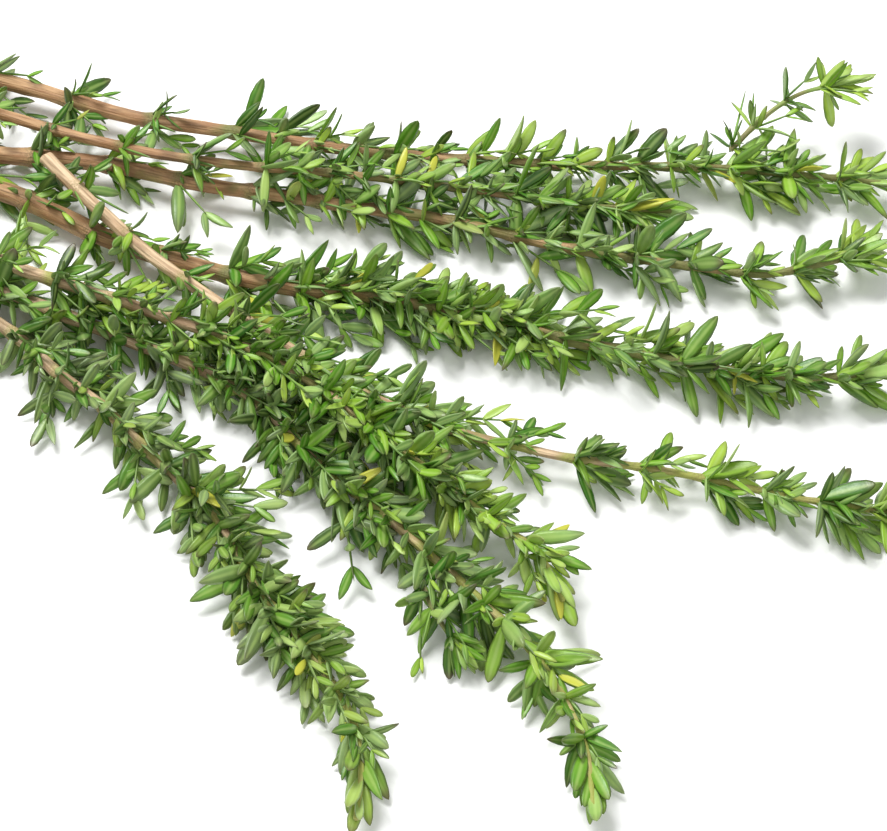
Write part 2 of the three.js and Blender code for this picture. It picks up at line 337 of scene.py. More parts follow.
@dataclass(frozen=True)
class Blade:
    """A thyme leaf 1 long, from its base at the origin along +Y, with its upper face towards +Z.

    Attributes:
        half_width: of the blade where it is widest.
        outline: how its width changes along it.
        thickness: of the blade.
        groove: depth of the groove over the midrib, over the half width.
        roll: how far the margins roll under, over the half width.
        curl: how far the tip drops, over the length.
        lift: how far the middle rises, over the length.
        twist: turn of the tip around the leaf's own axis.
    """

    half_width: float = 0.135
    outline: Outline = Outline.OBLONG
    thickness: float = 0.05
    groove: float = 0.26
    roll: float = 0.5
    curl: float = 0.1
    lift: float = 0.03
    twist: float = 0.0

    STATIONS = (0.0, 0.07, 0.2, 0.42, 0.66, 0.86, 0.96, 1.0)
    ACROSS = (-1.0, -0.58, 0.0, 0.58, 1.0, 0.45, -0.45)
    BELOW = (0.4, 0.0, 0.0, 0.0, 0.4, 1.0, 1.0)

    def section(self, width: float) -> np.ndarray:
        """Draw the closed outline of a cut across the blade.

        Args:
            width: half width of the blade there.

        Returns:
            Places across and up, for each point around.
        """
        fullness = min(1.0, width / self.half_width)
        thick = self.thickness * math.sqrt(fullness)
        groove, roll = self.groove * width * fullness, self.roll * width * fullness
        under = -thick - groove * 0.6
        heights = (-roll, 0.0, -groove, 0.0, -roll, under, under)
        return np.column_stack([np.array(self.ACROSS) * width, heights])

    def mesh(self, name: str) -> bpy.types.Mesh:
        """Build the leaf's closed mesh, with its own places stored on its points.

        Args:
            name: name of the mesh.

        Returns:
            The mesh, with the attributes along, sideways and below.
        """
        rings = []
        for t, width in zip(self.STATIONS, self.outline.value):
            x, z = self.section(self.half_width * width).T
            turn = self.twist * t
            rise = self.lift * math.sin(math.pi * t) - self.curl * t * t
            rings.append(np.column_stack([
                x * math.cos(turn) - z * math.sin(turn),
                np.full_like(x, t),
                x * math.sin(turn) + z * math.cos(turn) + rise,
            ]))
        count = len(self.ACROSS)
        faces = [face[::-1] for face in closed_tube(len(rings), count)]
        mesh = bpy.data.meshes.new(name)
        mesh.from_pydata(np.vstack(rings).tolist(), [], faces)
        mesh.polygons.foreach_set("use_smooth", [True] * len(faces))
        store(mesh, "along", "FLOAT", np.repeat(self.STATIONS, count))
        store(mesh, "sideways", "FLOAT", np.tile(self.ACROSS, len(rings)))
        store(mesh, "below", "FLOAT", np.tile(self.BELOW, len(rings)))
        return mesh


LEAF_SHAPES: dict[Shape, Blade] = {
    Shape.FLAT: Blade(0.13, roll=0.34, groove=0.2),
    Shape.RECURVED: Blade(0.12, curl=0.26, lift=0.05, groove=0.2, roll=0.6),
    Shape.HOODED: Blade(0.13, Outline.SPOON, curl=-0.12, groove=0.42, roll=0.25),
    Shape.FOLDED: Blade(0.115, Outline.LANCE, curl=0.03, groove=0.7, roll=0.15),
    Shape.TWISTED: Blade(0.122, curl=0.14, twist=math.radians(38)),
    Shape.BROAD: Blade(0.143, Outline.SPOON, curl=0.09, roll=0.42),
    Shape.TWIG: Blade(0.05, thickness=0.08, groove=0, roll=0.4, curl=0.02, lift=0),
}


@dataclass
class Leaf:
    """One leaf in its place.

    Attributes:
        base: where it grows from.
        heading: unit direction from base to tip.
        upper: direction that its upper face looks in, roughly.
        length: from base to tip.
        width: over the template's own width.
        shape: the template that it takes.
        tone: from 0, dark, to 1, bright.
        age: from 0, just opened, to 1, old.
        wear: from 0, browned, over green, to 1, yellowed.
    """

    base: np.ndarray
    heading: np.ndarray
    upper: np.ndarray
    length: float
    width: float
    shape: Shape
    tone: float
    age: float
    wear: float = 0.5

    STEEPEST = 0.95

    def clear_of(self, surface: float) -> "Leaf":
        """Lift and tilt the leaf up where it would go through the surface that the bundle lies on.

        Args:
            surface: least height of its tip.

        Returns:
            The leaf itself.
        """
        blade = LEAF_SHAPES[self.shape]
        drop = max(0.0, blade.curl) + blade.half_width / 2
        self.base[2] = max(self.base[2], surface)
        lowest = (surface + drop * self.length - self.base[2]) / self.length
        if self.heading[2] < lowest < self.STEEPEST:
            level = self.heading[:2] / max(1e-6, np.linalg.norm(self.heading[:2]))
            self.heading = np.array([*(level * math.sqrt(1 - lowest**2)), lowest])
        return self

    def size(self) -> tuple[float, float, float]:
        """Find how much wider, longer and thicker than its template it is."""
        return self.length * self.width, self.length, self.length * min(1.0, self.width)

    def rotation(self) -> tuple[float, ...]:
        """Find the turn that takes the template to this leaf, as a quaternion."""
        across = unit(np.cross(self.heading, self.upper))
        return quaternion(across, self.heading, np.cross(across, self.heading))


# ---- Sprigs ----


class Bark(Enum):
    """Kinds of stem surface."""

    BROWN = "brown"
    TAN = "tan"
    GREEN = "green"


@dataclass(frozen=True)
class Habit:
    """How one sprig grows.

    Attributes:
        key: number that its repeatable chances are drawn with.
        bare: length of stem below the first whorl.
        internode: distance between whorls, at the first whorl and at the tip.
        leaf: length of a leaf of a pair, at the first whorl and at the tip.
        bark: kind of stem surface.
        tone: of its leaves, from 0, dark, to 1, bright.
        olive: how far its leaves go from green to grey olive.
        nests: pairs of leaves in an axil shoot, at the first whorl and at the tip.
        filled: shares of the stem between which extra tufts grow between the whorls.
        reach: length of an axil shoot at the first whorl and at the tip, over that of the leaf below it.
        bushes: distances of fuller tufts from the cut end.
        closing: length of stem at the tip that only closing leaves grow on.
        slots: the record's material slots of its stem and its leaves.
    """

    key: int
    bare: float
    internode: tuple[float, float]
    leaf: tuple[float, float]
    bark: Bark
    tone: float
    olive: float = 0.1
    nests: tuple[float, float] = (3.4, 3.4)
    filled: tuple[float, float] = (1.0, 1.0)
    reach: tuple[float, float] = (0.78, 0.5)
    bushes: tuple[float, ...] = ()
    closing: float = 6 * MM
    slots: tuple[str, str] = ("wood", "leaf")


# The numbers of each row are in the order of Habit's attributes.
HABITS: dict[str, Habit] = {
    "sprig_1": Habit(0, 22.5 * MM, mm(17.5, 8), mm(9, 9.5), Bark.BROWN, 0.46, 0.1, (2.4, 4.2), (0.34, 0.85)),
    "sprig_2": Habit(1, 20 * MM, mm(15, 8), mm(7, 9.5), Bark.BROWN, 0.43, 0.1, (1, 4.4), (0.45, 0.9)),
    "sprig_3": Habit(2, 24 * MM, mm(15, 8), mm(8.5, 10.5), Bark.BROWN, 0.5, 0.15, (2, 3.4), (0.36, 0.72)),
    "sprig_4": Habit(
        3, 22 * MM, mm(15, 8), mm(9, 10.5), Bark.BROWN, 0.56, 0.1, (3, 4), (0.34, 0.9), (1, 0.55),
        mm(107, 112, 118, 124, 130, 136, 142, 148),
    ),
    "sprig_5": Habit(
        4, 10 * MM, mm(15, 8.5), mm(6.5, 10.5), Bark.TAN, 0.56, 0.1, (1.4, 5.8), (0.26, 0.5), (0.95, 0.55),
        mm(60, 68, 76, 86, 92),
    ),
    "sprig_6": Habit(
        5, 20 * MM, mm(12.5, 7.5), mm(9, 9.5), Bark.TAN, 0.56, 0.1, (3.6, 4.4), (0.2, 0.8), (0.85, 0.6),
        mm(88, 100, 112, 124),
    ),
    "sprig_7": Habit(
        6, 24 * MM, mm(12.5, 7.5), mm(9.5, 9.5), Bark.TAN, 0.42, 0.2, (4, 2.8), (0.14, 0.75), (0.9, 0.5),
        mm(94, 106, 118, 130), 8 * MM,
    ),
    "sprig_8": Habit(
        7, 22 * MM, mm(12.5, 7.5), mm(9.5, 9.5), Bark.TAN, 0.49, 0.4, (4.6, 3), (0.1, 0.75), (1, 0.55),
        mm(96, 108, 120, 132), 10 * MM,
    ),
    "shoot_1": Habit(
        8, 6 * MM, mm(8, 6), mm(7, 8.5), Bark.GREEN, 0.75, 0, (1, 2),
        bushes=mm(0.5), closing=1.5 * MM, slots=("shoot_wood", "young_leaf"),
    ),
    "shoot_2": Habit(
        9, 5 * MM, mm(6, 4.5), mm(8, 7), Bark.GREEN, 0.45, 0, (1.4, 1.4),
        bushes=mm(0.5), closing=1.5 * MM, slots=("shoot_wood", "young_leaf"),
    ),
}


class Growth(Enum):
    """Kinds of whorl.

    Each says how long its leaves are over a plain whorl's, how many more pairs of leaves its axil shoots
    have, and how long those shoots are over a plain whorl's.
    """

    PLAIN = (1.0, 0, 1.0)
    TUFT = (0.84, -1, 1.0)
    BUSH = (1.0, 1, 1.5)


@dataclass(frozen=True)
class Whorl:
    """The place on a stem where leaves grow.

    Attributes:
        index: number of the whorl, from the cut end.
        share: how far up the leafy part of the stem it is.
        at: the middle of the stem there.
        axes: rows that point to the stem's right, along it and to its top.
        radius: of the stem there.
        growth: kind of whorl.
    """

    index: int
    share: float
    at: np.ndarray
    axes: np.ndarray
    radius: float
    growth: Growth


Keys = tuple[int, ...]


@dataclass(frozen=True)
class Axil:
    """The corner between a leaf and its stem.

    Attributes:
        keys: whole numbers that its repeatable chances are drawn with.
        at: where the leaf starts.
        out: unit direction away from the stem.
        stem: unit direction along the stem.
        spread: angle between the leaf and the stem.
        length: of the leaf.
        tone: of the leaf.
        share: how far up the stem it is.
        pairs: pairs of leaves that its shoot has.
        reach: length of the shoot.
    """

    keys: Keys
    at: np.ndarray
    out: np.ndarray
    stem: np.ndarray
    spread: float
    length: float
    tone: float
    share: float
    pairs: int
    reach: float


@dataclass
class Sprig:
    """One cut sprig: its stem and its leaves.

    Attributes:
        name: of the sprig, as its frame nodes start.
        habit: how it grows.
        spread: angle between a leaf of a pair and the stem, at the cut end and at the tip.
        spread_varies: random share of that angle.
        drift: slow turn of the whorls around the stem.
        turn_varies: random turn of a whorl.
        seat: how far from the middle of the stem a leaf starts, over the stem's radius.
        length_varies: random share of a leaf's length.
        vigour_varies: random share of the length of all leaves of a whorl.
        tone_varies: random part of a leaf's tone, and of that of all leaves of a whorl.
        tone_rises: how much brighter leaves get for each share of the stem above the share given next.
        nests_vary: random part of the number of pairs in an axil shoot.
        short_leaf: length of a leaf between the pairs, over that of a leaf of a pair.
        short_spread: its angle to the stem, over that of a leaf of a pair.
        short_lowest: lowest that a leaf between the pairs may point, as a height for a length of 1.
        short_level: height below which it has the smallest axil shoot.
        clearance: least height of a leaf's tip.
        tuft_gap: shortest distance between whorls that has a tuft of small leaves in the middle.
        lean: angle of an axil shoot to the stem over its leaf's, what it loses on top, random part.
        twig: longest twig of an axil shoot that keeps its template's proportions.
        twig_reach: length of the twig, over the reach of the shoot.
        reach_varies: random share of the shoot's reach.
        first_pair: where the first pair of leaves of a shoot is, over its reach.
        missing: chance that a leaf of a shoot is missing.
        tilt: random turn of a pair of leaves around the shoot.
        openings: angle between an axil shoot's leaves and its axis, at its first pair and at its last.
        sizes: length of the first and of the last pair of an axil shoot, over that of the leaf below it.
        shoot_tones: added to the tone of a shoot's leaves, added again at its tip, random part.
        closing_pairs: pairs of closing leaves at the tip.
        closing_spread: their angle to the stem, at the first pair and at the last.
        closing_sizes: their lengths, over that of a leaf at the tip.
        closing_tones: added to the tone of the closing leaves, added again at the last, random part.
    """

    name: str
    habit: Habit
    spread: tuple[float, float] = (math.radians(62), math.radians(34))
    spread_varies: float = 0.3
    drift: float = math.radians(7)
    turn_varies: float = math.radians(14)
    seat: float = 0.8
    length_varies: float = 0.16
    vigour_varies: float = 0.17
    tone_varies: tuple[float, float] = (0.38, 0.08)
    tone_rises: tuple[float, float] = (0.24, 0.4)
    nests_vary: float = 0.7
    short_leaf: float = 0.74
    short_spread: float = 0.85
    short_lowest: float = -0.3
    short_level: float = 0.35
    clearance: float = 0.5 * MM
    tuft_gap: float = 7.8 * MM
    lean: tuple[float, float, float] = (0.64, 0.36, 0.25)
    twig: float = 5 * MM
    twig_reach: float = 1.3
    reach_varies: float = 0.3
    first_pair: float = 0.15
    missing: float = 0.06
    tilt: float = math.radians(24)
    openings: tuple[float, float] = (math.radians(68), math.radians(24))
    sizes: tuple[float, float] = (0.82, 0.54)
    shoot_tones: tuple[float, float, float] = (0.05, 0.14, 0.34)
    closing_pairs: int = 4
    closing_spread: tuple[float, float] = (math.radians(28), math.radians(8))
    closing_sizes: tuple[float, float] = (0.98, 0.72)
    closing_tones: tuple[float, float, float] = (0.26, 0.2, 0.12)
    line: StemLine = field(init=False)
    length: float = field(init=False)

    TO_SHOOT, TO_LIGHT, ASIDE = 0.55, 0.75, 0.45  # how much a leaf's upper face looks each way
    LEAST_TURN = 0.25  # less than this between a leaf and where it looks leaves its face undecided
    PLUMP, WIDTH_VARIES = 1.12, 0.16  # width of a short leaf, and random part of any leaf's
    BROAD_SHARE, BROAD_FADES = 0.22, 0.12  # share of broad leaves, and what old age takes from it
    OPEN_VARIES, SHOOT_LENGTH_VARIES, CLOSING_LENGTH_VARIES = 0.25, 0.18, 0.12
    SHOOT_KEYS, KEYS_PER_PAIR = 20, 4
    SHOOT_AGES = (0.8, 0.3)  # age of a shoot's first and last leaves, over that of the leaf below
    TWIG_TONE, TWIG_AGE = 0.5, 0.3

    def __post_init__(self) -> None:
        """Measure the stem."""
        self.line = StemLine.from_node(f"{self.name}_stem")
        self.length = self.line.length

    def whorl_distances(self) -> list[float]:
        """List the distances of the whorls from the cut end."""
        found, distance = [], self.habit.bare
        while distance < self.length - self.habit.closing:
            found.append(distance)
            distance += lerp(self.habit.internode, self.share(distance) ** 1.5)
        return found

    def whorls(self) -> Iterator[Whorl]:
        """Find the whorls from the cut end, then the tufts between them, then the bushes."""
        whorls, filled = self.whorl_distances(), self.habit.filled
        gaps = [pair for pair in zip(whorls, whorls[1:]) if pair[1] - pair[0] > self.tuft_gap]
        tufts = [(low + high) / 2 for low, high in gaps if filled[0] < self.share(low) < filled[1]]
        grown = [(distance, Growth.PLAIN) for distance in whorls]
        grown += [(distance, Growth.TUFT) for distance in tufts]
        grown += [(distance, Growth.BUSH) for distance in self.habit.bushes]
        points, across, along, up, radii = self.line.frames(np.array([distance for distance, _ in grown]))
        for index, (distance, growth) in enumerate(grown):
            axes = np.array([across[index], along[index], up[index]])
            number = index if growth is Growth.PLAIN else index + EXTRA_KEYS
            yield Whorl(number, self.share(distance), points[index], axes, float(radii[index]), growth)

    def share(self, distance: float) -> float:
        """Say how far up the leafy part of the stem a distance is."""
        return (distance - self.habit.bare) / (self.length - self.habit.bare)

    def whorl_turn(self, index: int) -> float:
        """Find how far a whorl's pair is turned around the stem, past the quarter turns."""
        key = self.habit.key
        return chance(key, 0) * math.pi + index * self.drift + self.turn_varies * swing(key, index, 1)

    def leaves(self) -> Iterator[Leaf]:
        """Grow every leaf of the sprig, from the cut end to the tip."""
        for whorl in self.whorls():
            for side in range(4):
                yield from self.leaves_on(whorl, side)
        yield from self.rosette()

    def leaves_on(self, whorl: Whorl, side: int) -> Iterator[Leaf]:
        """Grow the leaf on one side of a whorl, and the shoot in its axil.

        Args:
            whorl: the whorl.
            side: quarter of the stem that the leaf grows on, from 0 to 3.

        Yields:
            The leaf first, then those of the shoot.
        """
        whorl_keys, share = (self.habit.key, whorl.index), whorl.share
        keys = (*whorl_keys, side)
        turn = self.whorl_turn(whorl.index) + side * math.pi / 2
        spread = lerp(self.spread, share) * (1 + self.spread_varies * swing(*keys, 2))
        leaf_grows, more_pairs, shoot_grows = whorl.growth.value
        leaf_grows *= 1 + self.vigour_varies * swing(*whorl_keys, 15)
        length = leaf_grows * lerp(self.habit.leaf, share) * (1 + self.length_varies * swing(*keys, 3))
        out = whorl.axes.T @ [math.cos(turn), 0, math.sin(turn)]
        pairs = round(lerp(self.habit.nests, share) + self.nests_vary * swing(*keys, 12)) + more_pairs
        if (side + whorl.index) % 2 == 1:
            if out[2] < self.short_lowest:
                return
            spread *= self.short_spread
            length *= self.short_leaf
            pairs -= 2 if out[2] < self.short_level else 1
        stem = whorl.axes[1]
        rises, rises_from = self.tone_rises
        varies, whorl_varies = self.tone_varies
        tone = self.habit.tone + varies * swing(*keys, 6) + rises * max(0.0, share - rises_from)
        tone += whorl_varies * swing(*whorl_keys, 16)
        at = whorl.at + out * whorl.radius * self.seat
        reach = lerp(self.habit.reach, share) * shoot_grows * (1 + self.reach_varies * swing(*keys, 11))
        axil = Axil(keys, at, out, stem, spread, length, tone, share, pairs, length * reach)
        heading = out * math.sin(spread) + stem * math.cos(spread)
        yield self.leaf(keys, at, heading, stem, length, tone, 1 - share)
        yield from self.axil_shoot(axil)

    def leaf(
        self, keys: Keys, base: np.ndarray, heading: np.ndarray, inner: np.ndarray,
        length: float, tone: float, age: float,
    ) -> Leaf:
        """Grow one leaf, with its own small differences, turned partly to the light.

        Args:
            keys: that its repeatable chances are drawn with.
            base: where it grows from.
            heading: unit direction from base to tip.
            inner: unit direction of the shoot that it grows on, which its upper face looks to.
            length: from base to tip.
            tone: from 0, dark, to 1, bright.
            age: from 0, just opened, to 1, old.

        Returns:
            The leaf.
        """
        upper = self.TO_SHOOT * inner + np.array([0, 0, self.TO_LIGHT])
        upper += self.ASIDE * swing(*keys, 13) * np.cross(heading, inner)
        if np.linalg.norm(np.cross(heading, upper)) < self.LEAST_TURN:
            upper = inner
        width = (1.0 if length > self.habit.leaf[0] else self.PLUMP) + self.WIDTH_VARIES * swing(*keys, 7)
        wear = chance(*keys, 14)
        leaf = Leaf(base.copy(), heading, upper, length, width, self.pick_shape(keys, age), tone, age, wear)
        return leaf.clear_of(self.clearance)

    @classmethod
    def pick_shape(cls, keys: Keys, age: float) -> Shape:
        """Choose a leaf's form, more often broad where it is young.

        Args:
            keys: that its repeatable chances are drawn with.
            age: from 0, just opened, to 1, old.

        Returns:
            The form.
        """
        if chance(*keys, 8) < cls.BROAD_SHARE - cls.BROAD_FADES * age:
            return Shape.BROAD
        rest = (Shape.FLAT, Shape.RECURVED, Shape.HOODED, Shape.FOLDED, Shape.TWISTED)
        return rest[int(chance(*keys, 9) * len(rest))]

    def axil_shoot(self, axil: Axil) -> Iterator[Leaf]:
        """Grow the small shoot in an axil.

        Args:
            axil: where it grows.

        Yields:
            The twig that carries the leaves, then the leaves of each pair.
        """
        if axil.pairs < 1:
            return
        plain, less, varies = self.lean
        lean = axil.spread * (plain - less * max(0.0, axil.out[2]) + varies * swing(*axil.keys, 10))
        axis = axil.out * math.sin(lean) + axil.stem * math.cos(lean)
        beside = np.cross(axil.stem, axil.out)
        length = axil.reach * self.twig_reach
        slender = min(1.0, self.twig / length)
        twig = Leaf(axil.at, axis, beside, length, slender, Shape.TWIG, self.TWIG_TONE, self.TWIG_AGE)
        twig.clear_of(self.clearance)
        yield twig
        axis = twig.heading
        inward = unit(np.cross(axis, beside))
        lift, lift_up, varies = self.shoot_tones
        for pair in range(axil.pairs):
            up = pair / max(1, axil.pairs - 1)
            place = axil.at + axis * axil.reach * (self.first_pair + up)
            sideways, other = (beside, inward) if pair % 2 == 0 else (inward, beside)
            for hand in (-1, 1):
                keys = (*axil.keys, self.SHOOT_KEYS + self.KEYS_PER_PAIR * pair + hand)
                if chance(*keys, 3) < self.missing:
                    continue
                open_by = lerp(self.openings, up) * (1 + self.OPEN_VARIES * swing(*keys, 1))
                tilt = self.tilt * swing(*keys, 2)
                aside = (math.cos(tilt) * sideways + math.sin(tilt) * other) * hand
                heading = unit(aside * math.sin(open_by) + axis * math.cos(open_by))
                varied = 1 + self.SHOOT_LENGTH_VARIES * swing(*keys, 4)
                length = axil.length * lerp(self.sizes, up) * varied
                tone = axil.tone + lift + lift_up * up + varies * swing(*keys, 6)
                age = (1 - axil.share) * lerp(self.SHOOT_AGES, up)
                yield self.leaf(keys, place, heading, axis, length, tone, age)

    def rosette(self) -> Iterator[Leaf]:
        """Grow the closing leaves at the tip of the sprig."""
        last = self.whorl_distances()[-1]
        places = np.linspace(last, self.length - self.habit.closing / 2, self.closing_pairs + 1)[1:]
        points, across, along, up, _ = self.line.frames(places)
        lift, lift_near, varies = self.closing_tones
        for pair, near in enumerate(np.linspace(0, 1, self.closing_pairs)):
            turn = self.whorl_turn(CLOSING_KEYS) + pair * (math.pi / 2)
            for hand in (-1, 1):
                keys = (self.habit.key, CLOSING_KEYS + pair, hand + 1)
                spread = lerp(self.closing_spread, near) * (1 + self.OPEN_VARIES * swing(*keys, 1))
                out = (across[pair] * math.cos(turn) + up[pair] * math.sin(turn)) * hand
                heading = out * math.sin(spread) + along[pair] * math.cos(spread)
                varied = 1 + self.CLOSING_LENGTH_VARIES * swing(*keys, 4)
                length = self.habit.leaf[1] * lerp(self.closing_sizes, near) * varied
                tone = self.habit.tone + lift + lift_near * near + varies * swing(*keys, 6)
                yield self.leaf(keys, points[pair], heading, along[pair], length, tone, 0.0)


# ---- Node trees ----


Colour = tuple[float, float, float]
Socket = bpy.types.NodeSocket
Feed = Socket | float | tuple
Feeds = dict[str | int, Feed]


def rgba(colour: Colour) -> tuple[float, float, float, float]:
    """Give a colour its alpha."""
    return (*colour, 1.0)


class Wiring:
    """Short ways to add and join the nodes of one tree."""

    def __init__(self, tree: bpy.types.NodeTree) -> None:
        """Keep the tree."""
        self.tree = tree

    def socket(self, name: str, kind: str, value: float | None = None, side: str = "INPUT") -> str:
        """Give the tree itself a named socket.

        Args:
            name: of the socket.
            kind: of what it carries.
            value: that it has if nothing sets it.
            side: INPUT or OUTPUT.

        Returns:
            The socket's identifier.
        """
        made = self.tree.interface.new_socket(name=name, in_out=side, socket_type=f"NodeSocket{kind}")
        if value is not None:
            made.default_value = value
        return made.identifier

    def node(self, kind: str, feeds: Feeds | None = None, **settings: object) -> bpy.types.Node:
        """Add a node.

        Args:
            kind: its type.
            feeds: what its inputs get, by their names or numbers.
            settings: its properties.

        Returns:
            The node.
        """
        node = self.tree.nodes.new(kind)
        for name, value in settings.items():
            setattr(node, name, value)
        for name, source in (feeds or {}).items():
            self.join(source, node.inputs[name])
        return node

    def join(self, source: Feed, target: Socket) -> None:
        """Feed a socket from another one, or set its value.

        Args:
            source: the other socket, or the value.
            target: the socket to feed.
        """
        if isinstance(source, Socket):
            self.tree.links.new(source, target)
        else:
            target.default_value = source

    def attribute(self, name: str, output: str = "Fac") -> Socket:
        """Read one of the mesh's attributes."""
        node = self.node("ShaderNodeAttribute", attribute_name=name, attribute_type="GEOMETRY")
        return node.outputs[output]

    def math(self, operation: str, *values: Feed, clamp: bool = False) -> Socket:
        """Work out a number, kept from 0 to 1 where it is clamped."""
        feeds = dict(enumerate(values))
        return self.node("ShaderNodeMath", feeds, operation=operation, use_clamp=clamp).outputs[0]

    def times(self, first: Feed, second: Feed) -> Socket:
        """Multiply two numbers."""
        return self.math("MULTIPLY", first, second)

    def plus(self, first: Feed, second: Feed) -> Socket:
        """Add two numbers."""
        return self.math("ADD", first, second)

    def scaled(self, value: Feed, scale: float, offset: float) -> Socket:
        """Scale a number, then add the offset."""
        return self.math("MULTIPLY_ADD", value, scale, offset)

    def span(self, value: Feed, low: float, high: float) -> Socket:
        """Turn a number smoothly into 0 below low and 1 above high."""
        feeds = dict(enumerate((value, low, high, 0.0, 1.0)))
        return self.node("ShaderNodeMapRange", feeds, interpolation_type="SMOOTHSTEP").outputs[0]

    def mix(self, share: Feed, first: Feed, second: Feed) -> Socket:
        """Mix two colours, by how much of the second one there is."""
        pair = [rgba(colour) if isinstance(colour, tuple) else colour for colour in (first, second)]
        return self.node("ShaderNodeMix", {0: share, 6: pair[0], 7: pair[1]}, data_type="RGBA").outputs[2]

    def lay(self, colour: Feed, mask: Socket, amount: float, top: Feed) -> Socket:
        """Lay a colour on another one, by this amount where the mask is 1."""
        return self.mix(self.times(mask, amount), colour, top)

    def ramp(self, value: Socket, stops: tuple[tuple[float, Colour], ...]) -> Socket:
        """Turn a number into a colour.

        Args:
            value: from 0 to 1.
            stops: places and colours, lowest first.

        Returns:
            The socket that gives the colour.
        """
        node = self.node("ShaderNodeValToRGB", {0: value})
        elements = node.color_ramp.elements
        while len(elements) < len(stops):
            elements.new(0.5)
        for element, (place, colour) in zip(elements, stops):
            element.position, element.color = place, rgba(colour)
        return node.outputs[0]

    def noise(self, vector: Socket, scale: Feed, detail: float, squeeze: float | None = None) -> Socket:
        """Sample soft noise.

        Args:
            vector: where to sample it.
            scale: of the noise, for each metre.
            detail: how fine it gets.
            squeeze: how much to scale the third axis first.

        Returns:
            The socket that gives a number around 0.5.
        """
        if squeeze is not None:
            squeezed = {"Vector": vector, "Scale": (1.0, 1.0, squeeze)}
            vector = self.node("ShaderNodeMapping", squeezed).outputs[0]
        feeds = {"Vector": vector, "Scale": scale, "Detail": detail}
        return self.node("ShaderNodeTexNoise", feeds).outputs[0]


# ---- Leaf templates and the tree that sets them out ----


class LeafTemplates:
    """The leaf forms, each an object in one collection, for as long as leaves are made."""

    def __init__(self) -> None:
        """Make one object for each form."""
        self.collection = bpy.data.collections.new("leaf_shapes")
        for shape, blade in LEAF_SHAPES.items():
            self.collection.objects.link(bpy.data.objects.new(shape.label, blade.mesh(shape.label)))

    def remove(self) -> None:
        """Delete the templates."""
        for template in list(self.collection.objects):
            mesh = template.data
            bpy.data.objects.remove(template)
            bpy.data.meshes.remove(mesh)
        bpy.data.collections.remove(self.collection)


